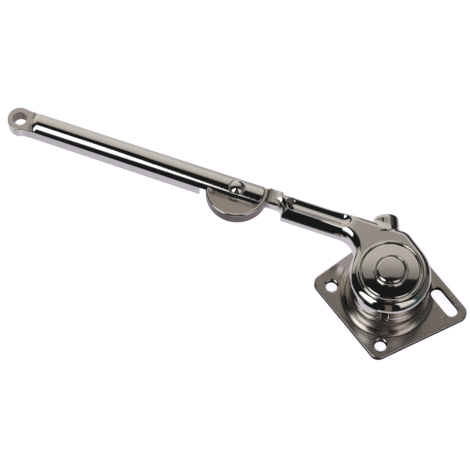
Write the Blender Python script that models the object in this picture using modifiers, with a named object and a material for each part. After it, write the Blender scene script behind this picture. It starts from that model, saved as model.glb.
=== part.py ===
"""Folding friction stay: a mounting plate with a brake drum, a short arm, an elbow and a long arm.

The drum's axis is the Z axis and the back of the plate lies on Z = 0. The arms point along -X.
Dimensions are in millimetres and are turned into metres by MM.
"""

import math

import bmesh
import bpy
from mathutils import Matrix, Vector

MM = 0.001
GAP = 0.3

# Mounting plate, in its own directions U (along the fixing holes) and V.
PLATE_ANGLE = math.radians(-33.5)
PLATE_THICK = 2.8
PLATE_LEFT = -22.8
PLATE_SHORT = 20.0
PLATE_LONG = 28.0
PLATE_HALF = 21.5
PLATE_CORNER = 3.8
HOLE_PITCH = 32.0
HOLE_R = 2.4
RIM_R = 2.8
SLOT_FROM = 12.4
SLOT_TO = 21.4
SLOT_V = 16.2
SLOT_R = 2.6
TICKS_U = (16.8, 21.7)
TICK_FROM = 11.0
TICK_TO = 20.2
TICK_WIDTH = 0.6
TICK_HEIGHT = 0.25

# Raised foot of the plate.
FOOT_TOP = 5.3
FOOT_R = 16.9
FOOT_FILLET = 2.5
WELL_R = 8.5
WELL_FLOOR = 1.5
STUD_CIRCLE = 11.5
STUD_R = 1.5
STUD_HEAD_R = 2.4
STUD_HEAD = 1.0

# Fixed collar and brake hub.
BASE_R = 15.8
BASE_BORE = 12.95
BASE_FLOOR = 6.9
BASE_TOP = 15.7
BASE_HOLE = 8.8
BORE_R = 4.35
HUB_R = 8.0
HUB_TOP = 24.1
FLANGE_R = 12.6
FLANGE_LOW = 12.7
FLANGE_HIGH = 14.1

# Turning housing with the short arm.
HOUSING_LOW = 16.0
HOUSING_TOP = 26.6
HOUSING_R = 16.3
WALL_TOP = 22.3
SHOULDER = 3.0
CAVITY_R = 8.4
CAVITY_TOP = 24.4
LEDGE_R = 14.0
LEDGE_TOP = 17.5
CAP_SEAT_R = 12.0
CAP_SEAT = 25.9
BEAD_R = 12.5
BEAD_HALF = 0.45
ARM_NEAR = 9.9
ARM_FAR = 19.3
ARM_END = -54.3
SCOOP_R = 4.6
INNER_FILLET = 8.0
OUTER_ROUND = 6.0
OUTER_ANGLE = math.radians(36)
ARM_DROP = 1.3
DROP_FROM = -19.0
DROP_TO = -34.0
FLUTE_FROM = -45.1
FLUTE_TO = -25.2
FLUTE_Y = 15.7
FLUTE_Z = 27.5
FLUTE_R = 3.85

ARM_STATIONS = (-13.0, -19.0, -22.5, -26.0, -29.0, -31.5, -34.0, -45.0)

# Radial screw boss.
BOSS_ANGLE = math.radians(112)
BOSS_R = 5.2
BOSS_Z = 21.25
BOSS_END = 25.4
BOSS_BORE = 2.9
BOSS_ROUND = 1.4

# Elbow.
KNUCKLE_X = -69.6
KNUCKLE_Y = 14.5
CUP_R = 12.7
CUP_RIM = 1.2
CUP_LOW = 18.2
CUP_TOP = 25.0
CUP_FLOOR = 22.2
RIM_FROM = math.radians(-156)
RIM_TO = math.radians(15)
NECK_NEAR = 12.6
NECK_TOP = 24.2
RIVET_R = 2.4
LAP_R = 11.1
LAP_LOW = 22.5
ARM_CLEAR_R = 15.2

# Long arm.
EYE_X = -163.5
EYE_Y = 14.6
EYE_R = 5.1
EYE_HOLE = 2.85
EYE_TOP = 22.6
CROWN_TOP = 25.4
CROWN_START = -158.4
CROWN_RAMP = 3.0
FAR_SIDE = 19.2
NEAR_AT_EYE = 10.5
NEAR_AT_KNUCKLE = 9.9

parts = None
cutters = None


def clear_scene():
    for item in list(bpy.data.objects):
        bpy.data.objects.remove(item, do_unlink=True)
    for mesh in list(bpy.data.meshes):
        bpy.data.meshes.remove(mesh)


def new_collection(name, hidden=False):
    made = bpy.data.collections.new(name)
    bpy.context.scene.collection.children.link(made)
    made.hide_render = hidden
    return made


def material(name, colour, roughness, metallic=1.0):
    made = bpy.data.materials.new(name)
    made.use_nodes = True
    shader = made.node_tree.nodes["Principled BSDF"]
    shader.inputs["Base Color"].default_value = (*colour, 1.0)
    shader.inputs["Roughness"].default_value = roughness
    shader.inputs["Metallic"].default_value = metallic
    return made


def point(x, y, z=0.0):
    return Vector((x * MM, y * MM, z * MM))


def place(name, mesh, finish):
    """Adds a mesh as a named part, shaded smooth with its hard edges kept."""
    made = bpy.data.objects.new(name, mesh)
    parts.objects.link(made)
    mesh.materials.clear()
    mesh.materials.append(finish)
    mesh.shade_smooth()
    mesh.set_sharp_from_angle(angle=math.radians(30))
    return made


def place_cutter(name, mesh):
    made = bpy.data.objects.new(name, mesh)
    cutters.objects.link(made)
    made.hide_render = True
    made.display_type = "WIRE"
    return made


def realised(source):
    """The evaluated mesh of an object with its transform applied, and the object removed."""
    bpy.context.view_layer.update()
    graph = bpy.context.evaluated_depsgraph_get()
    mesh = bpy.data.meshes.new_from_object(source.evaluated_get(graph))
    mesh.transform(source.matrix_world)
    data = source.data
    bpy.data.objects.remove(source, do_unlink=True)
    if isinstance(data, bpy.types.Curve):
        bpy.data.curves.remove(data)
    weld = bmesh.new()
    weld.from_mesh(mesh)
    bmesh.ops.remove_doubles(weld, verts=weld.verts, dist=1e-6)
    bmesh.ops.recalc_face_normals(weld, faces=weld.faces)
    weld.to_mesh(mesh)
    weld.free()
    return mesh


def boolean(target, other, operation):
    modifier = target.modifiers.new(other.name, "BOOLEAN")
    modifier.operation = operation
    modifier.solver = "EXACT"
    modifier.object = other


def cut(target, *meshes):
    for mesh in meshes:
        boolean(target, place_cutter(f"cut_{target.name}_{len(target.modifiers)}", mesh), "DIFFERENCE")


def join(target, *meshes):
    for mesh in meshes:
        boolean(target, place_cutter(f"add_{target.name}_{len(target.modifiers)}", mesh), "UNION")


def arc(cx, cy, radius, start, end, steps):
    """Points of an arc, angles in radians, from start to end."""
    found = []
    for step in range(steps + 1):
        angle = start + (end - start) * step / steps
        found.append((cx + radius * math.cos(angle), cy + radius * math.sin(angle)))
    return found


def prism(outline, low, high):
    """A flat outline in millimetres made solid between two heights."""
    curve = bpy.data.curves.new("outline", "CURVE")
    curve.dimensions = "2D"
    curve.fill_mode = "BOTH"
    curve.extrude = (high - low) / 2 * MM
    spline = curve.splines.new("POLY")
    spline.points.add(len(outline) - 1)
    for target, (x, y) in zip(spline.points, outline):
        target.co = (x * MM, y * MM, 0.0, 1.0)
    spline.use_cyclic_u = True
    made = bpy.data.objects.new("outline", curve)
    bpy.context.scene.collection.objects.link(made)
    made.location.z = (low + high) / 2 * MM
    return realised(made)


def turned(profile, steps=64, x=0.0, y=0.0, closed=False):
    """A profile of (radius, height) turned round the vertical through x, y. It runs down its outer side."""
    mesh = bpy.data.meshes.new("profile")
    corners = [(radius * MM, 0.0, height * MM) for radius, height in profile]
    edges = [(i, i + 1) for i in range(len(corners) - 1)]
    if closed:
        edges.append((len(corners) - 1, 0))
    mesh.from_pydata(corners, edges, [])
    made = bpy.data.objects.new("profile", mesh)
    bpy.context.scene.collection.objects.link(made)
    screw = made.modifiers.new("Screw", "SCREW")
    screw.steps = steps
    screw.render_steps = steps
    screw.use_merge_vertices = True
    screw.merge_threshold = 1e-5
    made.location = point(x, y)
    return realised(made)


def ring(inner, outer, low, high, steps=48, x=0.0, y=0.0):
    profile = [(inner, high), (outer, high), (outer, low), (inner, low)]
    return turned(profile, steps, x, y, closed=True)


def rod(radius, start, end, sides=32):
    """A cylinder between two points given in millimetres."""
    first, last = point(*start), point(*end)
    along = last - first
    mesh = bpy.data.meshes.new("rod")
    shape = bmesh.new()
    bmesh.ops.create_cone(
        shape,
        cap_ends=True,
        segments=sides,
        radius1=radius * MM,
        radius2=radius * MM,
        depth=along.length,
    )
    turn = along.to_track_quat("Z", "Y").to_matrix().to_4x4()
    shape.transform(Matrix.Translation((first + last) / 2) @ turn)
    shape.to_mesh(mesh)
    shape.free()
    return mesh


def box(low, high, turn=0.0):
    """A box between two corners in millimetres, turned round the Z axis."""
    mesh = bpy.data.meshes.new("box")
    shape = bmesh.new()
    bmesh.ops.create_cube(shape, size=1.0)
    size = [high[i] - low[i] for i in range(3)]
    middle = [(high[i] + low[i]) / 2 for i in range(3)]
    shape.transform(Matrix.Translation(point(*middle)) @ Matrix.Diagonal((*[s * MM for s in size], 1.0)))
    shape.transform(Matrix.Rotation(turn, 4, "Z"))
    shape.to_mesh(mesh)
    shape.free()
    return mesh


def on_plate(u, v):
    """A point of the plate's own directions, in the part's frame."""
    cos, sin = math.cos(PLATE_ANGLE), math.sin(PLATE_ANGLE)
    return u * cos - v * sin, u * sin + v * cos


def at_angle(radius, angle, z=0.0):
    return radius * math.cos(angle), radius * math.sin(angle), z


def rounded(corners, radius, steps=6):
    """An anticlockwise outline with each corner turned into an arc."""
    found = []
    for i, corner in enumerate(corners):
        here = Vector(corner)
        back = (Vector(corners[i - 1]) - here).normalized()
        ahead = (Vector(corners[(i + 1) % len(corners)]) - here).normalized()
        half = back.angle(ahead) / 2
        centre = here + (back + ahead).normalized() * radius / math.sin(half)
        first = here + back * radius / math.tan(half) - centre
        sweep = math.pi - 2 * half
        for step in range(steps + 1):
            turn = Matrix.Rotation(sweep * step / steps, 2)
            found.append(tuple(centre + turn @ first))
    return found


def bevelled(mesh, width, segments, limit=30):
    """The mesh with its sharp edges rounded."""
    made = bpy.data.objects.new("bevelled", mesh)
    bpy.context.scene.collection.objects.link(made)
    bevel = made.modifiers.new("Bevel", "BEVEL")
    bevel.width = width * MM
    bevel.segments = segments
    bevel.limit_method = "ANGLE"
    bevel.angle_limit = math.radians(limit)
    return realised(made)


def mounting_plate(finish):
    corners = [
        (PLATE_LEFT, -PLATE_HALF),
        (PLATE_SHORT, -PLATE_HALF),
        (PLATE_LONG, PLATE_HALF),
        (PLATE_LEFT, PLATE_HALF),
    ]
    outline = [on_plate(*corner) for corner in rounded(corners, PLATE_CORNER)]
    slab = bevelled(prism(outline, 0.0, PLATE_THICK), 0.35, 2)
    made = place("mounting_plate", slab, finish)
    fillet = arc(FOOT_R + FOOT_FILLET, FOOT_TOP, FOOT_FILLET, math.pi, 1.5 * math.pi, 5)
    foot = [(4.0, FOOT_TOP), *fillet, (FOOT_R + FOOT_FILLET, 1.0), (4.0, 1.0)]
    join(made, turned(foot, 72, closed=True))
    for u in TICKS_U:
        low = (u - TICK_WIDTH / 2, TICK_FROM, PLATE_THICK - 0.5)
        high = (u + TICK_WIDTH / 2, TICK_TO, PLATE_THICK + TICK_HEIGHT)
        join(made, box(low, high, PLATE_ANGLE))
    half = HOLE_PITCH / 2
    for u, v in ((-half, -half), (half, -half), (-half, half)):
        rim = RIM_R - HOLE_R
        bore = [
            (0.0, PLATE_THICK + 1),
            (RIM_R + 1, PLATE_THICK + 1),
            (HOLE_R, PLATE_THICK - rim),
            (HOLE_R, -1.0),
            (0.0, -1.0),
        ]
        cut(made, turned(bore, 32, *on_plate(u, v)))
    slot = arc(SLOT_TO, SLOT_V, SLOT_R, -math.pi / 2, math.pi / 2, 12)
    slot += arc(SLOT_FROM, SLOT_V, SLOT_R, math.pi / 2, 1.5 * math.pi, 12)
    cut(made, prism([on_plate(*corner) for corner in slot], -1.0, PLATE_THICK + 2))
    well = [(0.0, FOOT_TOP + 1), (WELL_R, FOOT_TOP + 1), (WELL_R, WELL_FLOOR), (0.0, WELL_FLOOR)]
    cut(made, turned(well, 48))
    for x, y in stud_places():
        hole = [
            (0.0, FOOT_TOP + 1),
            (STUD_R + GAP, FOOT_TOP + 1),
            (STUD_R + GAP, STUD_HEAD + GAP),
            (STUD_HEAD_R + GAP, STUD_HEAD + GAP),
            (STUD_HEAD_R + GAP, -1.0),
            (0.0, -1.0),
        ]
        cut(made, turned(hole, 16, x, y))


def stud_places():
    return [at_angle(STUD_CIRCLE, math.radians(60 + 120 * i))[:2] for i in range(3)]


def base_drum(finish):
    low = FOOT_TOP + GAP
    profile = [
        (BASE_BORE, BASE_TOP),
        (BASE_R - 0.3, BASE_TOP),
        (BASE_R, BASE_TOP - 0.3),
        (BASE_R, low + 0.4),
        (BASE_R - 0.4, low),
        (BASE_HOLE, low),
        (BASE_HOLE, BASE_FLOOR),
        (BASE_BORE, BASE_FLOOR),
    ]
    made = place("base_drum", turned(profile, 64, closed=True), finish)
    for x, y in stud_places():
        stud = [
            (0.0, BASE_FLOOR - 0.4),
            (STUD_R, BASE_FLOOR - 0.4),
            (STUD_R, STUD_HEAD),
            (STUD_HEAD_R, STUD_HEAD),
            (STUD_HEAD_R, GAP),
            (0.0, GAP),
        ]
        join(made, turned(stud, 16, x, y))


def brake_stack(steel, dark, bronze):
    """The hub and what clamps it: a friction disc, a washer, two disc springs and a nut."""
    hub = [
        (BORE_R, HUB_TOP),
        (HUB_R - 0.5, HUB_TOP),
        (HUB_R, HUB_TOP - 0.5),
        (HUB_R, FLANGE_HIGH),
        (FLANGE_R, FLANGE_HIGH),
        (FLANGE_R, FLANGE_LOW),
        (BORE_R, FLANGE_LOW),
    ]
    place("brake_hub", turned(hub, 48, closed=True), steel)
    keeper = place("retaining_ring", ring(10.8, FLANGE_R, FLANGE_HIGH + GAP, 15.4), steel)
    cut(keeper, box((8.0, -2.5, 12.0), (16.0, 2.5, 18.0)))
    place("friction_disc", ring(BORE_R, 12.0, 11.4, FLANGE_LOW - GAP), dark)
    place("pressure_washer", ring(BORE_R, 10.5, 10.1, 11.1), steel)
    place("disc_spring_upper", turned(disc_spring(9.8, 9.0), 40, closed=True), steel)
    place("disc_spring_lower", turned(disc_spring(7.3, 8.1), 40, closed=True), steel)
    nut = place("clamp_nut", rod(6.35, (0, 0, 2.3), (0, 0, 6.4), 6), steel)
    cut(nut, rod(BORE_R, (0, 0, 1), (0, 0, 8), 24))
    place("glide_ring", ring(9.0, 13.6, BASE_TOP + GAP, 17.2), bronze)


def disc_spring(inner_top, outer_top):
    """The profile of a coned spring 0.6 thick."""
    return [(4.4, inner_top), (8.3, outer_top), (8.3, outer_top - 0.6), (4.4, inner_top - 0.6)]


def housing_outline():
    """The plan of the drum and the short arm, anticlockwise."""
    reach = HOUSING_R + INNER_FILLET
    fillet_y = ARM_NEAR - INNER_FILLET
    fillet_x = -math.sqrt(reach**2 - fillet_y**2)
    inner = math.atan2(fillet_y, fillet_x)
    tangent = math.pi / 2 - OUTER_ANGLE
    found = arc(0, 0, HOUSING_R, inner - 2 * math.pi, tangent, 56)
    touch_x = HOUSING_R * math.cos(tangent)
    touch_y = HOUSING_R * math.sin(tangent)
    corner_x = touch_x - (ARM_FAR - touch_y) / math.tan(OUTER_ANGLE)
    round_x = corner_x - OUTER_ROUND * math.tan(OUTER_ANGLE / 2)
    found += arc(round_x, ARM_FAR - OUTER_ROUND, OUTER_ROUND, tangent, math.pi / 2, 5)
    found += [(x, ARM_FAR) for x in ARM_STATIONS]
    found.append((ARM_END, ARM_FAR))
    found += arc(ARM_END, ARM_NEAR, SCOOP_R, math.pi / 2, 0.0, 8)
    found += [(x, ARM_NEAR) for x in reversed(ARM_STATIONS) if ARM_END + SCOOP_R < x < fillet_x]
    found += arc(fillet_x, fillet_y, INNER_FILLET, math.pi / 2, inner - math.pi, 12)[:-1]
    return found


def inset(outline, distance):
    """The outline moved inwards by a distance, point for point."""
    found = []
    for i, here in enumerate(outline):
        here = Vector(here)
        back = (here - Vector(outline[i - 1])).normalized()
        ahead = (Vector(outline[(i + 1) % len(outline)]) - here).normalized()
        first = Vector((-back.y, back.x))
        second = Vector((-ahead.y, ahead.x))
        found.append(tuple(here + (first + second) * distance / (1 + first.dot(second))))
    return found


def stacked(rows):
    """A closed mesh from outlines with the same number of points, each with its height."""
    shape = bmesh.new()
    rings = [[shape.verts.new(point(x, y, z)) for x, y in outline] for outline, z in rows]
    count = len(rings[0])
    for lower, upper in zip(rings, rings[1:]):
        for i in range(count):
            j = (i + 1) % count
            shape.faces.new((lower[i], lower[j], upper[j], upper[i]))
    shape.faces.new(reversed(rings[0]))
    shape.faces.new(rings[-1])
    mesh = bpy.data.meshes.new("stacked")
    shape.to_mesh(mesh)
    shape.free()
    return mesh


def housing_block():
    """The plan made solid, with an elliptical shoulder round its top."""
    outline = housing_outline()
    rows = [(inset(outline, 0.25), HOUSING_LOW), (outline, HOUSING_LOW + 0.25)]
    rise = HOUSING_TOP - WALL_TOP
    steps = 7
    for step in range(steps + 1):
        angle = math.pi / 2 * step / steps
        rows.append((inset(outline, SHOULDER * (1 - math.cos(angle))), WALL_TOP + rise * math.sin(angle)))
    mesh = stacked(rows)
    shape = bmesh.new()
    shape.from_mesh(mesh)
    bmesh.ops.triangulate(shape, faces=shape.faces)
    for corner in shape.verts:
        share = (corner.co.x / MM - DROP_FROM) / (DROP_TO - DROP_FROM)
        share = min(1.0, max(0.0, share))
        height = max(0.0, corner.co.z / MM - WALL_TOP) / rise
        corner.co.z -= ARM_DROP * MM * height * share * share * (3 - 2 * share)
    shape.to_mesh(mesh)
    shape.free()
    return mesh


def capsule(radius, start, end, y, z):
    """A ball-ended rod along X."""
    profile = [(radius * math.sin(angle), start - radius * math.cos(angle)) for angle in quarter(8)]
    profile += [(radius * math.cos(angle), end + radius * math.sin(angle)) for angle in quarter(8)]
    mesh = turned(list(reversed(profile)), 32)
    mesh.transform(Matrix.Rotation(math.pi / 2, 4, "Y"))
    mesh.transform(Matrix.Translation(point(0, y, z)))
    return mesh


def quarter(steps):
    return [math.pi / 2 * step / steps for step in range(steps + 1)]


def cup_outline(radius, limit):
    """A circle round the elbow, cut straight on its far side."""
    rise = limit - KNUCKLE_Y
    angle = math.asin(rise / radius)
    return arc(KNUCKLE_X, KNUCKLE_Y, radius, -math.pi - angle, angle, 44)


def screw_boss(radius, start, end, sides=40):
    return rod(radius, at_angle(start, BOSS_ANGLE, BOSS_Z), at_angle(end, BOSS_ANGLE, BOSS_Z), sides)


def drum_arm(finish):
    made = place("drum_arm", housing_block(), finish)
    join(made, bevelled(prism(cup_outline(CUP_R, ARM_FAR - 0.1), CUP_LOW, CUP_TOP), 0.3, 2))
    join(made, box((KNUCKLE_X + 9.0, NECK_NEAR, CUP_LOW), (ARM_END + 5, ARM_FAR - 0.1, NECK_TOP)))
    join(made, bevelled(screw_boss(BOSS_R, 11.0, BOSS_END), BOSS_ROUND, 4))
    bead = arc(BEAD_R, HOUSING_TOP, BEAD_HALF, math.pi, 0.0, 6)
    join(made, turned([*bead, (BEAD_R + BEAD_HALF, 26.0), (BEAD_R - BEAD_HALF, 26.0)], 72, closed=True))
    seat = [(0.0, 29.0), (CAP_SEAT_R, 29.0), (CAP_SEAT_R, CAP_SEAT), (0.0, CAP_SEAT)]
    cut(made, turned(seat, 64))
    bore = [
        (0.0, 27.0),
        (BORE_R, 27.0),
        (BORE_R, CAVITY_TOP),
        (CAVITY_R, CAVITY_TOP),
        (CAVITY_R, LEDGE_TOP),
        (LEDGE_R, LEDGE_TOP),
        (LEDGE_R, 15.0),
        (0.0, 15.0),
    ]
    cut(made, turned(bore, 48))
    cut(made, screw_boss(BOSS_BORE, 5.0, BOSS_END + 2, 24))
    cut(made, capsule(FLUTE_R, FLUTE_FROM, FLUTE_TO, FLUTE_Y, FLUTE_Z))
    cut_knuckle(made)


def cut_knuckle(made):
    """The recess for the lap, the way out for the arm's swing, and the rivet's bore."""
    inner = CUP_R - CUP_RIM
    recess = arc(KNUCKLE_X, KNUCKLE_Y, inner, RIM_FROM, RIM_TO, 36)
    outer = CUP_R + 0.4
    recess += arc(KNUCKLE_X, KNUCKLE_Y, outer, RIM_TO, RIM_FROM + 2 * math.pi, 24)
    cut(made, prism(recess, CUP_FLOOR, 30.0))
    bore = [
        (0.0, 26.0),
        (5.1, 26.0),
        (5.1, 21.0),
        (RIVET_R + GAP, 21.0),
        (RIVET_R + GAP, 15.0),
        (0.0, 15.0),
    ]
    cut(made, turned(bore, 24, KNUCKLE_X, KNUCKLE_Y))


def drum_fittings(chrome, steel):
    """The cap, the bolt through the drum, and the brake in the radial boss."""
    dome = [(4.4, 27.35), (6.0, 27.3), (8.0, 27.2), (10.0, 27.02), (11.2, 26.85)]
    cap = [*dome, (11.6, 26.6), (11.7, 26.2), (4.4, 26.2)]
    place("cap_disc", turned(cap, 64, closed=True), chrome)
    bolt = [
        (0.0, 28.75),
        (3.0, 28.72),
        (4.8, 28.6),
        (5.4, 28.35),
        (5.7, 27.9),
        (5.7, 27.62),
        (4.0, 27.62),
        (4.0, 2.6),
        (3.4, 2.0),
        (0.0, 2.0),
    ]
    place("axle_bolt", turned(bolt, 40), chrome)
    place("brake_shoe", screw_boss(2.55, HUB_R + GAP, 13.5, 24), steel)
    place("brake_spring", coil(1.8, 0.32, 14.2, 18.2, 5), steel)
    screw = place("brake_screw", bevelled(screw_boss(2.55, 18.8, 24.3, 24), 0.2, 1), steel)
    cut(screw, screw_boss(1.45, 21.6, 25.0, 6))


def coil(radius, wire, start, end, turns):
    """A coil spring round the boss's axis."""
    per_turn = 12
    curve = bpy.data.curves.new("coil", "CURVE")
    curve.dimensions = "3D"
    curve.bevel_depth = wire * MM
    curve.bevel_resolution = 2
    curve.use_fill_caps = True
    spline = curve.splines.new("POLY")
    count = turns * per_turn
    spline.points.add(count)
    along = Vector(at_angle(1.0, BOSS_ANGLE))
    across = along.cross(Vector((0, 0, 1)))
    for step in range(count + 1):
        angle = 2 * math.pi * step / per_turn
        reach = start + (end - start) * step / count
        spot = along * reach + across * radius * math.cos(angle)
        spot.z = BOSS_Z + radius * math.sin(angle)
        spline.points[step].co = (*(spot * MM), 1.0)
    made = bpy.data.objects.new("coil", curve)
    bpy.context.scene.collection.objects.link(made)
    return realised(made)


def arm_section(x):
    """One crowned section of the long arm at x, from its near lower corner round the top."""
    share = (x - EYE_X) / (KNUCKLE_X - EYE_X)
    near = NEAR_AT_EYE + (NEAR_AT_KNUCKLE - NEAR_AT_EYE) * share
    middle = (near + FAR_SIDE) / 2
    half = (FAR_SIDE - near) / 2
    ramp = min(1.0, max(0.02, (x - CROWN_START) / CROWN_RAMP))
    rise = (CROWN_TOP - EYE_TOP) * math.sqrt(ramp * (2 - ramp))
    section = [(near, HOUSING_LOW)]
    for step in range(13):
        angle = math.pi * step / 12
        lift = math.sin(angle) ** 0.9
        section.append((middle - half * math.cos(angle), EYE_TOP + rise * lift))
    section.append((FAR_SIDE, HOUSING_LOW))
    return section


def arm_bar():
    """The crowned bar as a loft of its sections, from the eye's tab to past the rivet."""
    ramp = [CROWN_START + CROWN_RAMP * share for share in (0.0, 0.15, 0.4, 0.7, 1.0)]
    places = [*ramp, -120.0, KNUCKLE_X + LAP_R + 0.5]
    shape = bmesh.new()
    rows = []
    for x in places:
        rows.append([shape.verts.new(point(x, y, z)) for y, z in arm_section(x)])
    count = len(rows[0])
    for before, after in zip(rows, rows[1:]):
        for i in range(count):
            j = (i + 1) % count
            shape.faces.new((before[i], before[j], after[j], after[i]))
    shape.faces.new(rows[0])
    shape.faces.new(reversed(rows[-1]))
    bmesh.ops.recalc_face_normals(shape, faces=shape.faces)
    mesh = bpy.data.meshes.new("bar")
    shape.to_mesh(mesh)
    shape.free()
    return mesh


def long_arm(finish):
    made = place("long_arm", arm_bar(), finish)
    tab = arc(EYE_X, EYE_Y, EYE_R, math.pi / 2, 1.5 * math.pi, 20)
    tab += [(CROWN_START + 1.5, NEAR_AT_EYE), (CROWN_START + 1.5, FAR_SIDE)]
    join(made, bevelled(prism(tab, HOUSING_LOW, EYE_TOP), 0.25, 2))
    cut(made, rod(EYE_HOLE, (EYE_X, EYE_Y, 10), (EYE_X, EYE_Y, 30), 40))
    clear = arc(KNUCKLE_X, KNUCKLE_Y, ARM_CLEAR_R, math.pi / 2, 1.5 * math.pi, 24)
    clear += [(KNUCKLE_X + 20, KNUCKLE_Y - ARM_CLEAR_R), (KNUCKLE_X + 20, KNUCKLE_Y + ARM_CLEAR_R)]
    cut(made, prism(clear, 10.0, LAP_LOW))
    stub = arc(KNUCKLE_X, KNUCKLE_Y, LAP_R, math.pi / 2, -math.pi / 2, 24)
    stub += [(KNUCKLE_X, KNUCKLE_Y - 20), (KNUCKLE_X + 30, KNUCKLE_Y - 20)]
    stub += [(KNUCKLE_X + 30, KNUCKLE_Y + 20), (KNUCKLE_X, KNUCKLE_Y + 20)]
    cut(made, prism(stub, 10.0, 30.0))
    cut(made, rod(RIVET_R + GAP, (KNUCKLE_X, KNUCKLE_Y, 10), (KNUCKLE_X, KNUCKLE_Y, 30), 24))
    head = [(0.0, 30.0), (3.3, 30.0), (3.3, 24.9), (0.0, 24.9)]
    cut(made, turned(head, 32, KNUCKLE_X, KNUCKLE_Y))


def elbow_fittings(chrome, steel):
    rivet = [
        (0.0, 26.7),
        (0.9, 26.62),
        (1.8, 26.35),
        (2.5, 25.9),
        (2.9, 25.4),
        (2.9, 25.2),
        (RIVET_R, 25.2),
        (RIVET_R, 16.7),
        (3.4, 16.5),
        (3.2, 16.1),
        (0.0, 16.1),
    ]
    place("knuckle_rivet", turned(rivet, 32, KNUCKLE_X, KNUCKLE_Y), chrome)
    place("knuckle_washer", ring(2.7, 4.8, 21.3, 22.2, 32, KNUCKLE_X, KNUCKLE_Y), steel)
    place("tail_washer", ring(2.7, 4.6, 16.95, 17.9, 32, KNUCKLE_X, KNUCKLE_Y), steel)


def build():
    global parts, cutters
    clear_scene()
    parts = new_collection("folding_friction_stay")
    cutters = new_collection("cutters", hidden=True)
    chrome = material("polished_plating", (0.62, 0.61, 0.59), 0.08)
    plate = material("plate_plating", (0.50, 0.48, 0.46), 0.18)
    steel = material("plain_steel", (0.45, 0.45, 0.46), 0.3)
    dark = material("friction_lining", (0.09, 0.08, 0.07), 0.8, 0.0)
    bronze = material("glide_bronze", (0.55, 0.38, 0.2), 0.35)
    mounting_plate(plate)
    base_drum(plate)
    brake_stack(steel, dark, bronze)
    drum_arm(chrome)
    drum_fittings(chrome, steel)
    long_arm(chrome)
    elbow_fittings(chrome, steel)


build()
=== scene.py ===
"""A folding friction stay in polished plating, on a pale floor in a studio of greys and softboxes."""

import math

import bpy
import numpy as np
from mathutils import Matrix, Vector


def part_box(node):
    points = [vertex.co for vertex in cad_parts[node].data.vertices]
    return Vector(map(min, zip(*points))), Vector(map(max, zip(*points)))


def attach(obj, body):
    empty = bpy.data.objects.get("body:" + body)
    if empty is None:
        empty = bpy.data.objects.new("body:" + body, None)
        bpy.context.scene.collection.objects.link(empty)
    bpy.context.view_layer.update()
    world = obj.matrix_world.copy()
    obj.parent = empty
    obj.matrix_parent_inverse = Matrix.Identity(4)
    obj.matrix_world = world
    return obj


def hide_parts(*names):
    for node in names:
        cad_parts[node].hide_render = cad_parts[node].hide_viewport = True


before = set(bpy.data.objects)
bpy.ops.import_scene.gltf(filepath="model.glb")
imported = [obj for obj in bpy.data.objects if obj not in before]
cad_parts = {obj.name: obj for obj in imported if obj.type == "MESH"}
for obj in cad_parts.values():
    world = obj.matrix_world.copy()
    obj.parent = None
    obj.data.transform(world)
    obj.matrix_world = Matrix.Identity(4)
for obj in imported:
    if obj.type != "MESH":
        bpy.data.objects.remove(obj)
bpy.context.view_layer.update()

MM = 0.001


def box_mm(node):
    low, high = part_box(node)
    return Vector(low) / MM, Vector(high) / MM


PLATE = box_mm("mounting_plate")
BASE = box_mm("base_drum")
ARM = box_mm("drum_arm")
REACH = box_mm("long_arm")
CAP = box_mm("cap_disc")
BOLT = box_mm("axle_bolt")
RIVET = box_mm("knuckle_rivet")

FINE = 0.22

# Plate, in its own directions U (along the fixing holes) and V.
PLATE_ANGLE = math.radians(-33.5)
PLATE_THICK = 2.8
PLATE_CORNERS = ((-22.8, -21.5), (20.0, -21.5), (28.0, 21.5), (-22.8, 21.5))
PLATE_CORNER_R = 3.8
HOLE_HALF = 16.0
HOLE_R = 2.4
RIM = 0.4
SLOT = (12.4, 21.4, 16.2, 2.6)
TICKS_U = (16.8, 21.7)
TICK_V = (11.0, 20.2)
FOOT_TOP = PLATE[1].z
FOOT_R = 16.9
FOOT_FILLET = 2.5
STUD_CIRCLE = 11.5

# Housing and short arm.
HOUSING_R = 16.3
HOUSING_LOW = ARM[0].z
HOUSING_TOP = 26.6
WALL_TOP = 22.3
SHOULDER = 3.0
ARM_NEAR = 9.9
ARM_FAR = 19.3
ARM_END = -54.3
ARM_DROP = 1.3
SCOOP_R = 4.6
INNER_FILLET = 8.0
OUTER_ROUND = 6.0
OUTER_ANGLE = math.radians(36)
FLUTE = (-45.1, -25.2, 15.7, 27.5, 3.85)
BEAD_R = 12.5
BEAD_HALF = 0.5
DOME = 0.005
SEAT_R = 12.0
SEAT_Z = 25.9
BOSS_ANGLE = math.radians(112)
BOSS_R = 5.2
BOSS_Z = 21.25
BOSS_END = 25.4

# Elbow.
KNUCKLE = ((RIVET[0].x + RIVET[1].x) / 2, (RIVET[0].y + RIVET[1].y) / 2)
CUP_R = 12.7
CUP_RIM = 1.2
CUP_LOW = 18.2
CUP_TOP = 25.0
CUP_FLOOR = 22.2
RIM_ANGLES = (math.radians(-156), math.radians(15))

# Long arm.
EYE = (-163.5, 14.6)
EYE_R = 5.1
EYE_HOLE = 2.75
EYE_TOP = 22.6
TAB_Y = 14.85
TAB_HALF = 4.5
TAB_END = -158.6
CROWN_TOP = REACH[1].z
CROWN_START = -158.4
CROWN_RAMP = 3.0
FAR_SIDE = 19.2
NEAR_SIDE = (10.5, 9.9)
LAP_R = 11.1
LAP_LOW = 22.5
ARM_CLEAR_R = 15.2


# Distance fields: each takes points as rows of x, y, z in millimetres and is negative inside.


def smooth_max(a, b, blend):
    """The intersection of two fields, with its edge rounded."""
    share = np.clip(0.5 + 0.5 * (a - b) / blend, 0, 1)
    return b + (a - b) * share + blend * share * (1 - share)


def smooth_min(a, b, blend):
    return -smooth_max(-a, -b, blend)


def slab(p, low, high, blend=0.3):
    return smooth_max(low - p[:, 2], p[:, 2] - high, blend)


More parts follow.
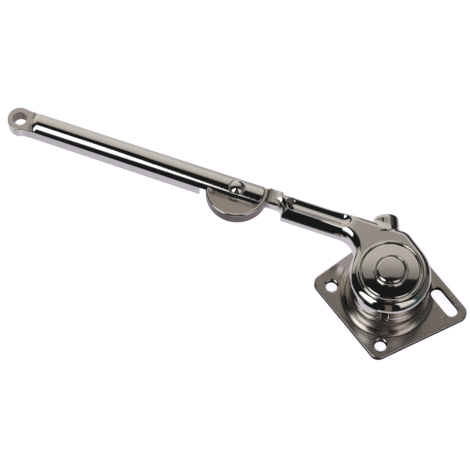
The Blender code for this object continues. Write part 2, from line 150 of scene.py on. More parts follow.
def radius_from(p, x=0.0, y=0.0):
    return np.hypot(p[:, 0] - x, p[:, 1] - y)


def capsule(p, start, end, radius):
    start, end = np.array(start, float), np.array(end, float)
    along = end - start
    share = np.clip(((p - start) @ along) / (along @ along), 0, 1)
    return np.linalg.norm(p - start - share[:, None] * along, axis=1) - radius


def path_distance(p, arcs):
    """Signed distance to an anticlockwise outline of arcs joined by straight lines.

    Each arc is (x, y, radius, start, end) with angles in radians. One that runs clockwise is concave.
    """
    xy = p[:, :2]
    best = np.full(len(xy), 1e9)
    sign = np.ones(len(xy))
    for i, (x, y, radius, start, end) in enumerate(arcs):
        off = xy - (x, y)
        span = abs(end - start)
        turn = np.arctan2(off[:, 1], off[:, 0]) - min(start, end)
        turn = np.mod(turn + 1e-9, 2 * math.pi)
        away = np.hypot(off[:, 0], off[:, 1]) - radius
        distance = np.where(turn <= span + 2e-9, np.abs(away), 1e9)
        side = np.sign(away) * (1 if end > start else -1)
        nearer = distance < best
        best = np.where(nearer, distance, best)
        sign = np.where(nearer, side, sign)
        after = arcs[(i + 1) % len(arcs)]
        first = np.array([x + radius * math.cos(end), y + radius * math.sin(end)])
        last = np.array([after[0] + after[2] * math.cos(after[3]), after[1] + after[2] * math.sin(after[3])])
        along = last - first
        length = np.linalg.norm(along)
        if length < 1e-6:
            continue
        along /= length
        off = xy - first
        reach = off @ along
        across = off[:, 0] * along[1] - off[:, 1] * along[0]
        within = (reach >= -1e-6) & (reach <= length + 1e-6)
        distance = np.where(within, np.abs(across), 1e9)
        nearer = distance < best
        best = np.where(nearer, distance, best)
        sign = np.where(nearer, np.sign(across), sign)
    return best * sign


def rounded_corners(corners, radii):
    """The arcs that round an anticlockwise polygon's convex corners."""
    arcs = []
    for i, (corner, radius) in enumerate(zip(corners, radii)):
        here = Vector(corner)
        back = (Vector(corners[i - 1]) - here).normalized()
        ahead = (Vector(corners[(i + 1) % len(corners)]) - here).normalized()
        half = back.angle(ahead) / 2
        centre = here + (back + ahead).normalized() * radius / math.sin(half)
        first = here + back * radius / math.tan(half) - centre
        start = math.atan2(first.y, first.x)
        arcs.append((centre.x, centre.y, radius, start, start + math.pi - 2 * half))
    return arcs


def crowned(inset, z, wall_top, top, width):
    """A solid whose top edge is an elliptical shoulder, from its signed outline distance."""
    across = np.maximum(0, (inset + width) / width)
    up = np.maximum(0, (z - wall_top) / (top - wall_top))
    return (np.hypot(across, up) - 1) * width


def on_plate(p):
    """Points turned into the plate's own directions."""
    cos, sin = math.cos(PLATE_ANGLE), math.sin(PLATE_ANGLE)
    return p[:, 0] * cos + p[:, 1] * sin, -p[:, 0] * sin + p[:, 1] * cos


def plate_field(p):
    u, v = on_plate(p)
    z = p[:, 2]
    arcs = rounded_corners(PLATE_CORNERS, [PLATE_CORNER_R] * 4)
    field = smooth_max(path_distance(np.stack([u, v], 1), arcs), slab(p, 0, PLATE_THICK), 0.5)
    r = radius_from(p)
    hollow = FOOT_FILLET - np.hypot(np.maximum(0, FOOT_R + FOOT_FILLET - r), FOOT_TOP - z)
    foot = np.maximum(np.maximum(hollow, r - FOOT_R - FOOT_FILLET), z - FOOT_TOP)
    foot = np.maximum(foot, 1.0 - z)
    field = np.minimum(field, foot)
    for tick in TICKS_U:
        bar = np.maximum(np.abs(u - tick) - 0.35, np.abs(v - sum(TICK_V) / 2) - (TICK_V[1] - TICK_V[0]) / 2)
        field = smooth_min(field, np.maximum(bar, np.abs(z - 2.5) - 0.65), 0.15)
    for hole_u, hole_v in ((-1, -1), (1, -1), (-1, 1)):
        away = np.hypot(u - hole_u * HOLE_HALF, v - hole_v * HOLE_HALF)
        field = smooth_max(field, HOLE_R + np.maximum(0, z - PLATE_THICK + RIM) - away, 0.3)
    along = np.clip(u, SLOT[0], SLOT[1])
    away = np.hypot(u - along, v - SLOT[2])
    field = smooth_max(field, SLOT[3] - away, 0.35)
    field = np.maximum(field, -np.maximum(r - 8.5, 1.5 - z))
    for i in range(3):
        angle = math.radians(60 + 120 * i)
        away = radius_from(p, STUD_CIRCLE * math.cos(angle), STUD_CIRCLE * math.sin(angle))
        field = np.maximum(field, np.where(z > 1.3, 1.8, 2.7) - away)
    return field


def housing_arcs():
    """The plan of the drum and the short arm, anticlockwise from where the inner fillet meets the drum."""
    reach = HOUSING_R + INNER_FILLET
    fillet_y = ARM_NEAR - INNER_FILLET
    fillet_x = -math.sqrt(reach**2 - fillet_y**2)
    inner = math.atan2(fillet_y, fillet_x)
    tangent = math.pi / 2 - OUTER_ANGLE
    touch_x = HOUSING_R * math.cos(tangent)
    touch_y = HOUSING_R * math.sin(tangent)
    corner_x = touch_x - (ARM_FAR - touch_y) / math.tan(OUTER_ANGLE)
    round_x = corner_x - OUTER_ROUND * math.tan(OUTER_ANGLE / 2)
    edge = 0.7
    side = math.sqrt((SCOOP_R + edge) ** 2 - edge**2)
    lean = math.atan2(side, edge)
    return [
        (0, 0, HOUSING_R, inner - 2 * math.pi, tangent),
        (round_x, ARM_FAR - OUTER_ROUND, OUTER_ROUND, tangent, math.pi / 2),
        (ARM_END + edge, ARM_FAR - edge, edge, math.pi / 2, math.pi),
        (ARM_END + edge, ARM_NEAR + side, edge, math.pi, math.pi + lean),
        (ARM_END, ARM_NEAR, SCOOP_R, lean, math.pi / 2 - lean),
        (ARM_END + side, ARM_NEAR + edge, edge, 1.5 * math.pi - lean, 1.5 * math.pi),
        (fillet_x, fillet_y, INNER_FILLET, math.pi / 2, inner - math.pi),
    ]


def smooth_step(value, low, high):
    share = np.clip((value - low) / (high - low), 0, 1)
    return share * share * (3 - 2 * share)


def boss_field(p, radius, end):
    """A rod along the radial boss's axis."""
    along = p[:, 0] * math.cos(BOSS_ANGLE) + p[:, 1] * math.sin(BOSS_ANGLE)
    across = p[:, 0] * math.sin(BOSS_ANGLE) - p[:, 1] * math.cos(BOSS_ANGLE)
    away = np.hypot(across, p[:, 2] - BOSS_Z) - radius
    return along, away, along - end


def knuckle_field(p):
    """The half-round cup and the neck that joins it to the short arm."""
    z = p[:, 2]
    r = radius_from(p, *KNUCKLE)
    turn = np.arctan2(p[:, 1] - KNUCKLE[1], p[:, 0] - KNUCKLE[0])
    cup = smooth_max(r - CUP_R, slab(p, CUP_LOW, CUP_TOP), 0.5)
    cup = smooth_max(cup, p[:, 1] - ARM_FAR + 0.1, 0.4)
    neck = np.maximum(KNUCKLE[0] + 9.0 - p[:, 0], p[:, 0] - ARM_END - 3.0)
    neck = smooth_max(neck, slab(p, CUP_LOW, 24.2), 0.5)
    neck = smooth_max(neck, np.abs(p[:, 1] - (12.6 + ARM_FAR - 0.1) / 2) - (ARM_FAR - 12.7) / 2, 0.8)
    both = smooth_min(cup, neck, 0.5)
    middle = sum(RIM_ANGLES) / 2
    half = (RIM_ANGLES[1] - RIM_ANGLES[0]) / 2
    off = np.abs(np.mod(turn - middle + math.pi, 2 * math.pi) - math.pi)
    opening = smooth_step((off - half) * CUP_R, -0.1, 0.1)
    limit = CUP_R - CUP_RIM + opening * (CUP_RIM + 0.4)
    both = smooth_max(both, -np.maximum(r - limit, CUP_FLOOR - z), 0.35)
    return np.maximum(both, np.where(z > 21.0, 5.1, 2.7) - r)


def housing_field(p):
    z = p[:, 2]
    inset = path_distance(p, housing_arcs())
    top = HOUSING_TOP - ARM_DROP * smooth_step(-p[:, 0], 19.0, 34.0)
    wall = WALL_TOP - 3.2 * smooth_step(-p[:, 0], 17.0, 30.0)
    field = crowned(inset, z, wall, top, SHOULDER)
    field = smooth_max(field, HOUSING_LOW - z, 0.4)
    along, away, past = boss_field(p, BOSS_R, BOSS_END)
    boss = smooth_max(away, past, 2.0)
    boss = np.maximum(boss, 18.6 - along)
    field = smooth_min(field, boss, 1.2)
    field = smooth_min(field, knuckle_field(p), 0.4)
    field = smooth_max(field, -capsule(p, (FLUTE[0], *FLUTE[2:4]), (FLUTE[1], *FLUTE[2:4]), FLUTE[4]), 0.7)
    r = radius_from(p)
    bead = np.hypot(r - BEAD_R, z - HOUSING_TOP) - BEAD_HALF
    field = smooth_min(field, bead, 0.2)
    field = smooth_max(field, -np.maximum(r - SEAT_R, SEAT_Z - z), 0.15)
    cavity = np.where(z < 17.5, 14.0, np.where(z < 24.4, 8.4, 4.35))
    field = np.maximum(field, cavity - r)
    bore = np.maximum(np.maximum(boss_field(p, 2.9, BOSS_END)[1], 5.0 - along), along - 40)
    return smooth_max(field, -bore, 0.3)


def reach_field(p):
    x, y, z = p.T
    share = (x - EYE[0]) / (KNUCKLE[0] - EYE[0])
    near = NEAR_SIDE[0] + (NEAR_SIDE[1] - NEAR_SIDE[0]) * share
    middle = (near + FAR_SIDE) / 2
    half = (FAR_SIDE - near) / 2
    across = (y - middle) / half
    up = np.maximum(0, (z - EYE_TOP) / (CROWN_TOP - EYE_TOP))
    back = np.maximum(0, (CROWN_START + CROWN_RAMP - x) / CROWN_RAMP)
    lift = np.hypot(up, np.where(z > EYE_TOP, back, 0))
    bar = (np.hypot(across, lift) - 1) * 2.8
    bar = np.maximum(bar, CROWN_START - x)
    neck = np.maximum(np.abs(y - TAB_Y) - TAB_HALF, np.maximum(EYE[0] - x, x - TAB_END))
    tab = np.minimum(radius_from(p, *EYE) - EYE_R, neck)
    tab = smooth_max(tab, z - EYE_TOP, 0.4)
    field = smooth_min(bar, tab, 0.4)
    field = smooth_max(field, HOUSING_LOW - z, 0.4)
    field = smooth_max(field, EYE_HOLE - radius_from(p, *EYE), 0.2)
    r = radius_from(p, *KNUCKLE)
    beside = np.minimum(r, np.abs(y - KNUCKLE[1]))
    clear = np.where(x > KNUCKLE[0], beside, r) - ARM_CLEAR_R
    field = smooth_max(field, -np.maximum(clear, z - LAP_LOW), 0.3)
    stub = np.where(x > KNUCKLE[0], r - LAP_R, -LAP_R)
    field = smooth_max(field, stub, 0.4)
    field = np.maximum(field, 2.7 - r)
    return smooth_max(field, -np.maximum(r - 3.3, 24.9 - z), 0.2)


def net(field, low, high, step):
    """Points and quads of a field's zero surface, and the normals there."""
    axes = [np.arange(low[i] - 2 * step, high[i] + 3 * step, step) for i in range(3)]
    shape = tuple(len(axis) for axis in axes)
    value = np.empty(shape, np.float32)
    flat = np.stack(np.meshgrid(axes[1], axes[2], indexing="ij"), -1).reshape(-1, 2)
    chunk = max(1, 400_000 // len(flat))
    for start in range(0, shape[0], chunk):
        xs = axes[0][start : start + chunk]
        points = np.empty((len(xs) * len(flat), 3))
        points[:, 0] = np.repeat(xs, len(flat))
        points[:, 1:] = np.tile(flat, (len(xs), 1))
        value[start : start + len(xs)] = field(points).reshape(len(xs), shape[1], shape[2])
    cells = tuple(n - 1 for n in shape)
    total = np.zeros((*cells, 3), np.float32)
    count = np.zeros(cells, np.float32)
    corners = [(i, j, k) for i in (0, 1) for j in (0, 1) for k in (0, 1)]
    for a in corners:
        for axis in range(3):
            if a[axis]:
                continue
            b = list(a)
            b[axis] = 1
            first = value[a[0] : a[0] + cells[0], a[1] : a[1] + cells[1], a[2] : a[2] + cells[2]]
            last = value[b[0] : b[0] + cells[0], b[1] : b[1] + cells[1], b[2] : b[2] + cells[2]]
            cross = (first < 0) != (last < 0)
            share = np.where(cross, first / np.where(cross, first - last, 1), 0)
            count += cross
            for other in range(3):
                total[..., other] += cross * (a[other] + (share if other == axis else 0))
    used = count > 0
    index = np.full(cells, -1, np.int64)
    index[used] = np.arange(used.sum())
    place = np.stack(np.nonzero(used), 1) + total[used] / count[used][:, None]
    points = place * step + np.array([axis[0] for axis in axes])
    quads = []
    for axis in range(3):
        one, two = (axis + 1) % 3, (axis + 2) % 3
        low_side = [slice(1, n - 1) for n in shape]
        high_side = list(low_side)
        low_side[axis] = slice(0, shape[axis] - 1)
        high_side[axis] = slice(1, shape[axis])
        first = value[tuple(low_side)] < 0
        last = value[tuple(high_side)] < 0
        where = np.stack(np.nonzero(first != last), 1)
        rising = first[tuple(where.T)]
        where[:, one] += 1
        where[:, two] += 1
        ring = []
        for step_one, step_two in ((1, 1), (0, 1), (0, 0), (1, 0)):
            cell = where.copy()
            cell[:, one] -= step_one
            cell[:, two] -= step_two
            ring.append(index[tuple(cell.T)])
        ring = np.stack(ring, 1)
        quads.append(np.where(rising[:, None], ring, ring[:, ::-1]))
    quads = np.concatenate(quads)
    for _ in range(4):
        slope = gradient(field, points)
        size = np.maximum(np.linalg.norm(slope, axis=1), 0.2)
        move = np.clip(field(points) / size, -0.5 * step, 0.5 * step)
        points = points - slope / size[:, None] * move[:, None]
    slope = gradient(field, points)
    normals = slope / np.maximum(np.linalg.norm(slope, axis=1), 1e-9)[:, None]
    return points, quads, normals


def gradient(field, points, reach=0.03):
    slopes = []
    for axis in range(3):
        shift = np.zeros(3)
        shift[axis] = reach
        slopes.append((field(points + shift) - field(points - shift)) / (2 * reach))
    return np.stack(slopes, 1)


def grown(name, field, node, step):
    """A smooth mesh of a distance field, over a CAD node's box."""
    low, high = box_mm(node)
    points, quads, normals = net(field, low, high, step)
    points = np.clip(points, np.array(low), np.array(high))
    mesh = bpy.data.meshes.new(name)
    mesh.from_pydata((points * MM).tolist(), [], quads.tolist())
    mesh.update()
    mesh.shade_smooth()
    mesh.normals_split_custom_set_from_vertices(normals.tolist())
    made = bpy.data.objects.new(name, mesh)
    bpy.context.scene.collection.objects.link(made)
    return made


def turned(name, profile, x=0.0, y=0.0, steps=144):
    """A profile of (radius, height) turned round a vertical axis. It runs down its outer side."""
    points, quads = [], []
    for radius, z in profile:
        for i in range(steps):
            angle = 2 * math.pi * i / steps
            points.append(((x + radius * math.cos(angle)) * MM, (y + radius * math.sin(angle)) * MM, z * MM))
    for row in range(len(profile) - 1):
        for i in range(steps):
            j = (i + 1) % steps
            low, high = (row + 1) * steps, row * steps
            quads.append((low + i, low + j, high + j, high + i))
    mesh = bpy.data.meshes.new(name)
    mesh.from_pydata(points, [], quads)
    mesh.update()
    mesh.shade_smooth()
    mesh.set_sharp_from_angle(angle=math.radians(35))
    made = bpy.data.objects.new(name, mesh)
    bpy.context.scene.collection.objects.link(made)
    return made


def curve_points(points, steps=8):
    """A smooth curve through points of (radius, height)."""
    points = [Vector(p) for p in points]
    padded = [2 * points[0] - points[1], *points, 2 * points[-1] - points[-2]]
    found = []
    for a, b, c, d in zip(padded, padded[1:], padded[2:], padded[3:]):
        for step in range(steps):
            t = step / steps
            spot = 2 * b + (c - a) * t + (2 * a - 5 * b + 4 * c - d) * t**2 + (3 * b - a - 3 * c + d) * t**3
            found.append(tuple(spot / 2))
    found.append(tuple(points[-1]))
    return found


# Materials.


def metal(name, colour, roughness, wear=0.1, grain=0.02, bump=0.02):
    made = bpy.data.materials.new(name)
    made.use_nodes = True
    tree = made.node_tree
    shader = tree.nodes["Principled BSDF"]
    shader.inputs["Metallic"].default_value = 1.0
    place = tree.nodes.new("ShaderNodeTexCoord")
    cloud = tree.nodes.new("ShaderNodeTexNoise")
    cloud.inputs["Scale"].default_value = 60.0
    cloud.inputs["Detail"].default_value = 5.0
    tree.links.new(place.outputs["Object"], cloud.inputs["Vector"])
    tint = tree.nodes.new("ShaderNodeMapRange")
    tint.inputs["To Min"].default_value = 1.0 - wear
    tint.inputs["To Max"].default_value = 1.0
    tree.links.new(cloud.outputs["Fac"], tint.inputs["Value"])
    mix = tree.nodes.new("ShaderNodeVectorMath")
    mix.operation = "SCALE"
    mix.inputs[0].default_value = colour
    tree.links.new(tint.outputs["Result"], mix.inputs["Scale"])
    tree.links.new(mix.outputs["Vector"], shader.inputs["Base Color"])
    fine = tree.nodes.new("ShaderNodeTexNoise")
    fine.inputs["Scale"].default_value = 900.0
    fine.inputs["Detail"].default_value = 3.0
    tree.links.new(place.outputs["Object"], fine.inputs["Vector"])
    rough = tree.nodes.new("ShaderNodeMapRange")
    rough.inputs["From Min"].default_value = 0.3
    rough.inputs["From Max"].default_value = 0.7
    rough.inputs["To Min"].default_value = max(0.02, roughness - grain)
    rough.inputs["To Max"].default_value = roughness + grain
    tree.links.new(cloud.outputs["Fac"], rough.inputs["Value"])
    tree.links.new(rough.outputs["Result"], shader.inputs["Roughness"])
    height = tree.nodes.new("ShaderNodeBump")
    height.inputs["Strength"].default_value = bump
    height.inputs["Distance"].default_value = 0.0002
    tree.links.new(fine.outputs["Fac"], height.inputs["Height"])
    tree.links.new(height.outputs["Normal"], shader.inputs["Normal"])
    return made


def area(material, colour, roughness, *limits):
    """Gives part of a material its own colour and roughness: a duller finish, or painted shade.

    Each limit is what to measure, then where it starts to apply and where it fully does: a place on
    X, Y or Z in millimetres, the distance from a point in plan, or how far the surface faces up.
    """
    tree = material.node_tree
    shader = tree.nodes["Principled BSDF"]
    place = tree.nodes.new("ShaderNodeTexCoord")
    split = tree.nodes.new("ShaderNodeSeparateXYZ")
    tree.links.new(place.outputs["Object"], split.inputs[0])
    facing = tree.nodes.new("ShaderNodeSeparateXYZ")
    tree.links.new(place.outputs["Normal"], facing.inputs[0])
    mask = None
    for what, start, end in limits:
        scale = MM
        if what == "facing":
            value, scale = facing.outputs["Z"], 1.0
        elif what in ("X", "Y", "Z"):
            value = split.outputs[what]
        else:
            flat = tree.nodes.new("ShaderNodeVectorMath")
            flat.operation = "MULTIPLY"
            flat.inputs[1].default_value = (1, 1, 0)
            tree.links.new(place.outputs["Object"], flat.inputs[0])
            gap = tree.nodes.new("ShaderNodeVectorMath")
            gap.operation = "DISTANCE"
            gap.inputs[1].default_value = (what[0] * MM, what[1] * MM, 0)
            tree.links.new(flat.outputs["Vector"], gap.inputs[0])
            value = gap.outputs["Value"]
        ramp = tree.nodes.new("ShaderNodeMapRange")
        ramp.interpolation_type = "SMOOTHSTEP"
        ramp.inputs["From Min"].default_value = start * scale
        ramp.inputs["From Max"].default_value = end * scale
        tree.links.new(value, ramp.inputs["Value"])
        found = ramp.outputs["Result"]
        if mask is not None:
            both = tree.nodes.new("ShaderNodeMath")
            both.operation = "MULTIPLY"
            tree.links.new(mask, both.inputs[0])
            tree.links.new(found, both.inputs[1])
            found = both.outputs[0]
        mask = found
    tint = tree.nodes.new("ShaderNodeMix")
    tint.data_type = "RGBA"
    tint.inputs["B"].default_value = (*colour, 1)
    blend_in(tree, tint, mask, shader.inputs["Base Color"])
    rough = tree.nodes.new("ShaderNodeMix")
    rough.inputs["B"].default_value = roughness
    blend_in(tree, rough, mask, shader.inputs["Roughness"])


def blend_in(tree, mix, mask, target):
    """Puts a mix between an input and what feeds it."""
    source = target.links[0].from_socket
    before = [socket for socket in mix.inputs if socket.name == "A" and socket.type == target.type]
    after = [socket for socket in mix.outputs if socket.type == target.type]
    tree.links.new(source, before[0])
    tree.links.new(mask, mix.inputs["Factor"])
    tree.links.new(after[0], target)


CHROME = metal("polished_plating", (0.86, 0.84, 0.81), 0.05)
PLATE_METAL = metal("plate_plating", (0.62, 0.575, 0.54), 0.2)
# Painted shade: the plate's side walls and the walls of its holes and slot are painted near black and
# rougher, for the shade of the table beside and under them.
area(PLATE_METAL, (0.03, 0.024, 0.02), 0.6, ("facing", 0.6, 0.3), ("Z", 2.75, 2.55), ("Z", 0.03, 0.15))
CUP_METAL = metal("housing_plating", (0.86, 0.84, 0.81), 0.05)
REACH_METAL = metal("reach_plating", (0.86, 0.84, 0.81), 0.05)
STEEL = metal("plain_steel", (0.55, 0.55, 0.56), 0.28)
LINING = metal("friction_lining", (0.08, 0.07, 0.06), 0.8)
LINING.node_tree.nodes["Principled BSDF"].inputs["Metallic"].default_value = 0.0
BRONZE = metal("glide_bronze", (0.72, 0.5, 0.28), 0.3)


def finish(piece, material, body, node):
    piece.data.materials.clear()
    piece.data.materials.append(material)
    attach(piece, body)
    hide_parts(node)


def dull_finish_and_painted_shade():
    """The cup's floor and the eye's tab are duller than the rest. The cup's outer wall and the eye's hole
    wall are painted dark, as painted shade.
    """
    area(CUP_METAL, (0.86, 0.76, 0.69), 0.4, (KNUCKLE, 11.7, 11.4), ("facing", 0.6, 0.8), ("Z", 22.9, 22.5))
    # Painted shade: the cup's outer wall is painted dark brown, a darker band standing in for shade.
    area(CUP_METAL, (0.17, 0.135, 0.12), 0.3, (KNUCKLE, 12.35, 12.6), ("X", -54.0, -58.0), ("Z", 24.6, 24.4))
    area(REACH_METAL, (0.97, 0.92, 0.87), 0.42, ("X", -158.0, -158.6), ("facing", 0.3, 0.6))
    # Painted shade: the wall of the eye's hole is painted dark brown, for the shade inside the hole.
    area(REACH_METAL, (0.3, 0.25, 0.22), 0.4, (EYE, 3.3, 3.1), ("facing", 0.6, 0.3))


def make_pieces():
    dull_finish_and_painted_shade()
    plate = grown("plate", plate_field, "mounting_plate", FINE)
    finish(plate, PLATE_METAL, "base", "mounting_plate")
    housing = grown("housing", housing_field, "drum_arm", FINE)
    finish(housing, CUP_METAL, "drum", "drum_arm")
    reach = grown("reach_arm", reach_field, "long_arm", FINE)
    finish(reach, REACH_METAL, "reach", "long_arm")
    make_turned()


def make_turned():
    low, high = CAP[0].z, CAP[1].z
    groove = [(4.4, high - 0.3), (5.85, high - 0.3)]
    turn = np.linspace(0, math.pi, 12)
    bead = [(6.5 - 0.5 * math.cos(a), high + 0.05 + 0.5 * math.sin(a)) for a in turn]
    dome = [(r, high - DOME * (r * r - 49)) for r in np.linspace(7.0, 11.2, 16)]
    dome = groove + bead + dome
    edge = dome[-1][1]
    rim = [(11.4, edge - 0.06), (11.58, edge - 0.2), (11.65, edge - 0.45)]
    rim += [(11.65, low), (4.4, low), (4.4, high)]
    cap = turned("cap", dome + rim)
    finish(cap, CHROME, "drum", "cap_disc")
    top = BOLT[1].z
    head = [(r, top - DOME * r * r) for r in np.linspace(0.0, 4.9, 12)]
    low = head[-1][1]
    head += [(4.9 + 0.8 * math.sin(a), low - 0.8 * (1 - math.cos(a))) for a in np.linspace(0.1, 1.57, 10)]
    shank = [(5.7, 27.62), (4.0, 27.62), (4.0, BOLT[0].z + 0.6), (3.4, BOLT[0].z), (0.0, BOLT[0].z)]
    bolt = turned("bolt", head + shank)
    finish(bolt, CHROME, "drum", "axle_bolt")
    top = RIVET[1].z
    drops = [(0.0, 0.0), (0.9, 0.08), (1.8, 0.35), (2.5, 0.8), (2.9, 1.3)]
    head = curve_points([(r, top - drop) for r, drop in drops], 6)
    shank = [(2.9, 25.2), (2.4, 25.2), (2.4, 16.7), (3.4, 16.5), (3.2, 16.1), (0.0, 16.1)]
    rivet = turned("rivet", head + shank, *KNUCKLE, steps=72)
    finish(rivet, CHROME, "drum", "knuckle_rivet")
    low, high = 5.6, BASE[1].z
    wall = [(12.95, high), (15.4, high), (15.7, high - 0.1), (15.8, high - 0.35), (15.8, low + 0.5)]
    wall += [(15.65, low + 0.15), (15.4, low), (8.8, low), (8.8, 6.9), (12.95, 6.9), (12.95, high)]
    collar = turned("collar", wall)
    finish(collar, CHROME, "base", "base_drum")


def finish_nodes():
    """The parts inside the drum keep their CAD shapes."""
    for name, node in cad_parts.items():
        material = STEEL
        if name == "friction_disc":
            material = LINING
        if name == "glide_ring":
            material = BRONZE
        if node.material_slots:
            for place in node.material_slots:
                place.material = material
        else:
            node.data.materials.append(material)


# Studio.

CAMERA_TURN = math.radians(18.4)
CAMERA_TILT = math.radians(22.75)
CAMERA_ROLL = math.radians(1.15)
CAMERA_DISTANCE = 0.95
CAMERA_LENS = 184.1
CAP_OFFSET = (0.06168, -0.01403)
# The card under the plate is painted shade: a dark sheet where the plate's shadow would lie.
UNDER_PLATE_SHADE = (-21, -20, 19, 20)
UNDER_PLATE_SHADE_Z = -1.5
FLAG = (-215, 40, -115, 150)
FLAG_Z = 276


def make_camera():
    """The camera looks down at the stay from the drum's side, with the drum right of the middle."""
    cos, sin = math.cos(CAMERA_TURN), math.sin(CAMERA_TURN)
    level = Vector((-sin, cos, 0))
    right = Vector((cos, sin, 0))
    up = math.cos(CAMERA_TILT) * level + math.sin(CAMERA_TILT) * Vector((0, 0, 1))
    ahead = math.sin(CAMERA_TILT) * level - math.cos(CAMERA_TILT) * Vector((0, 0, 1))
    across = math.cos(CAMERA_ROLL) * right + math.sin(CAMERA_ROLL) * up
    upward = -math.sin(CAMERA_ROLL) * right + math.cos(CAMERA_ROLL) * up
    cap = Vector((0, 0, 27.4 * MM))
    place = cap - CAP_OFFSET[0] * across - CAP_OFFSET[1] * upward - CAMERA_DISTANCE * ahead
    data = bpy.data.cameras.new("camera")
    data.lens = CAMERA_LENS
    data.clip_end = 20
    made = bpy.data.objects.new("camera", data)
    turn = Matrix((across, upward, -ahead)).transposed().to_4x4()
    made.matrix_world = Matrix.Translation(place) @ turn
    bpy.context.scene.collection.objects.link(made)
    bpy.context.scene.camera = made


def make_floor():
    mesh = bpy.data.meshes.new("floor")
    size = 4.0
    corners = [(-size, -size, 0), (size, -size, 0), (size, size, 0), (-size, size, 0)]
    mesh.from_pydata(corners, [], [(0, 1, 2, 3)])
    floor = bpy.data.objects.new("floor", mesh)
    floor.location.z = -0.0004
    bpy.context.scene.collection.objects.link(floor)
    made = bpy.data.materials.new("floor")
    made.use_nodes = True
    shader = made.node_tree.nodes["Principled BSDF"]
    shader.inputs["Base Color"].default_value = (0.5, 0.5, 0.52, 1)
    shader.inputs["Roughness"].default_value = 0.9
    shader.inputs["Specular IOR Level"].default_value = 0.0
    shader.inputs["Emission Color"].default_value = (1.0, 0.98, 1.08, 1)
    shader.inputs["Emission Strength"].default_value = 0.9
    mesh.materials.append(made)
    floor.visible_glossy = False
    floor.visible_diffuse = False
    # The dark card under the plate is painted shade, standing in for the shadow there, and keeps the plate's
    # holes dark from above; the flag shades the long arm.
    card("under_plate_shade", UNDER_PLATE_SHADE, UNDER_PLATE_SHADE_Z, Matrix.Rotation(PLATE_ANGLE, 4, "Z"), (0.02, 0.018, 0.016))
    card("flag", FLAG, FLAG_Z, Matrix.Rotation(CAMERA_TURN, 4, "Z"), (0.01, 0.01, 0.012))


def card(name, sides, high, turn, colour):
    """A plain card that only the metal sees."""
    x0, y0, x1, y1 = sides
    corners = [(x0, y0), (x1, y0), (x1, y1), (x0, y1)]
    mesh = bpy.data.meshes.new(name)
    mesh.from_pydata([Vector((x * MM, y * MM, high * MM)) for x, y in corners], [], [(0, 1, 2, 3)])
    mesh.transform(turn)
    made = bpy.data.objects.new(name, mesh)
    bpy.context.scene.collection.objects.link(made)
    surface = bpy.data.materials.new(name)
    surface.use_nodes = True
    shader = surface.node_tree.nodes["Principled BSDF"]
    shader.inputs["Base Color"].default_value = (0, 0, 0, 1)
    shader.inputs["Specular IOR Level"].default_value = 0.0
    shader.inputs["Emission Color"].default_value = (*colour, 1)
    shader.inputs["Emission Strength"].default_value = 1.0
    mesh.materials.append(surface)
    made.visible_camera = False
    made.visible_diffuse = False
    made.visible_shadow = False


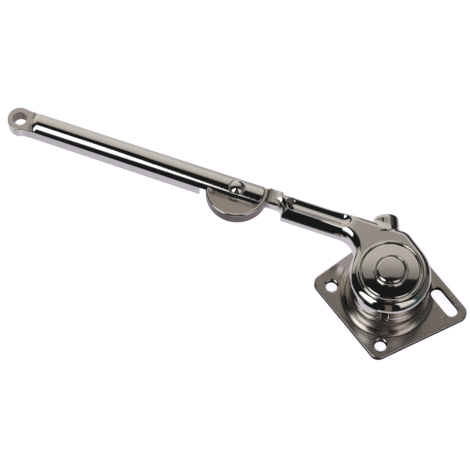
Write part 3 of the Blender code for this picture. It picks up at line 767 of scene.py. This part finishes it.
def make_world():
    """The studio as the metal sees it.

    Warm grey stands behind the stay, dark overhead and towards the camera, two softboxes hang in
    the dark, and a white sheet lies below. Directions are split along the camera's own turn.
    """
    world = bpy.data.worlds.new("studio")
    bpy.context.scene.world = world
    world.use_nodes = True
    tree = world.node_tree
    tree.nodes.clear()
    out = tree.nodes.new("ShaderNodeOutputWorld")
    back = tree.nodes.new("ShaderNodeBackground")
    tree.links.new(back.outputs[0], out.inputs[0])
    place = tree.nodes.new("ShaderNodeTexCoord").outputs["Generated"]
    cos, sin = math.cos(CAMERA_TURN), math.sin(CAMERA_TURN)

    def along(x, y, z):
        dot = tree.nodes.new("ShaderNodeVectorMath")
        dot.operation = "DOT_PRODUCT"
        dot.inputs[1].default_value = (x, y, z)
        tree.links.new(place, dot.inputs[0])
        return dot.outputs["Value"]

    def rise(value, start, end):
        ramp = tree.nodes.new("ShaderNodeMapRange")
        ramp.interpolation_type = "SMOOTHSTEP"
        ramp.inputs["From Min"].default_value = start
        ramp.inputs["From Max"].default_value = end
        tree.links.new(value, ramp.inputs["Value"])
        return ramp.outputs["Result"]

    def times(*values):
        found = values[0]
        for value in values[1:]:
            product = tree.nodes.new("ShaderNodeMath")
            product.operation = "MULTIPLY"
            tree.links.new(found, product.inputs[0])
            tree.links.new(value, product.inputs[1])
            found = product.outputs[0]
        return found

    def over(under, mask, colour):
        mix = tree.nodes.new("ShaderNodeMix")
        mix.data_type = "RGBA"
        mix.inputs["B"].default_value = (*colour, 1)
        if isinstance(under, tuple):
            mix.inputs["A"].default_value = (*under, 1)
        else:
            tree.links.new(under, mix.inputs["A"])
        tree.links.new(mask, mix.inputs["Factor"])
        return mix.outputs["Result"]

    right = along(cos, sin, 0)
    behind = along(-sin, cos, 0)
    up = along(0, 0, 1)
    across = along(1, 0, 0)
    sky = over((0.010, 0.012, 0.012), rise(right, 0.35, 0.8), (0.10, 0.10, 0.09))
    sky = over(sky, times(rise(right, 0.5, 0.75), rise(behind, -0.2, -0.45)), (0.04, 0.08, 0.09))
    doorway = times(rise(right, -0.16, -0.1), rise(right, 0.12, 0.06), rise(behind, -0.5, -0.8))
    sky = over(sky, doorway, (0.16, 0.13, 0.11))
    grey = tree.nodes.new("ShaderNodeValToRGB")
    stops = grey.color_ramp
    tones = [(0.0, 0.2), (0.08, 0.28), (0.16, 0.43), (0.25, 0.54)]
    tones += [(0.42, 0.57), (0.64, 0.65), (0.81, 0.70), (1.0, 0.61)]
    for i, (place_at, tone) in enumerate(tones):
        stop = stops.elements[i] if i < 2 else stops.elements.new(place_at)
        stop.position = place_at
        stop.color = (tone, tone * (0.93 + 0.03 * place_at), tone * (0.84 + 0.10 * place_at), 1)
    wall = tree.nodes.new("ShaderNodeMapRange")
    wall.inputs["From Min"].default_value = 0.305
    wall.inputs["From Max"].default_value = 1.0
    tree.links.new(behind, wall.inputs["Value"])
    tree.links.new(wall.outputs["Result"], grey.inputs["Fac"])
    mask = times(rise(behind, 0.30, 0.318), rise(right, 0.6, 0.42))
    mix = tree.nodes.new("ShaderNodeMix")
    mix.data_type = "RGBA"
    tree.links.new(mask, mix.inputs["Factor"])
    tree.links.new(sky, mix.inputs["A"])
    tree.links.new(grey.outputs["Color"], mix.inputs["B"])
    sky = mix.outputs["Result"]
    corner = times(rise(right, 0.12, 0.3), rise(behind, 0.25, 0.35), rise(up, 0.55, 0.4))
    sky = over(sky, corner, (0.02, 0.02, 0.02))
    low_north = times(rise(up, -0.2, -0.8), rise(behind, 0.1, 0.3))
    sky = over(sky, low_north, (0.84, 0.82, 0.82))
    left_box = times(
        rise(along(cos + 0.13 * sin, sin - 0.13 * cos, 0), -0.2, -0.218),
        rise(along(-sin - 0.4 * cos, cos - 0.4 * sin, 0), 0.08, 0.0),
        rise(along(-sin - 1.2 * cos, cos - 1.2 * sin, 0), -0.14, -0.02),
        rise(up, -0.25, 0.3),
    )
    sky = over(sky, left_box, (1.6, 1.62, 1.6))
    right_box = times(
        rise(right, 0.10, 0.2),
        rise(along(-sin + 0.65 * cos, cos + 0.65 * sin, 0), 0.03, -0.05),
        rise(along(-sin + 2.4 * cos, cos + 2.4 * sin, 0), -0.05, 0.1),
        rise(up, -0.3, 0.3),
    )
    sky = over(sky, right_box, (0.85, 0.8, 0.76))
    lower = tree.nodes.new("ShaderNodeMath")
    lower.operation = "MULTIPLY_ADD"
    lower.inputs[1].default_value = 0.2
    tree.links.new(times(rise(across, -0.03, -0.08), rise(across, -0.5, -0.35)), lower.inputs[0])
    tree.links.new(up, lower.inputs[2])
    sky = over(sky, rise(lower.outputs[0], -0.60, -0.74), (0.66, 0.63, 0.70))
    tree.links.new(sky, back.inputs["Color"])


make_pieces()
finish_nodes()
make_camera()
make_floor()
make_world()
bpy.context.scene.view_settings.view_transform = "Standard"
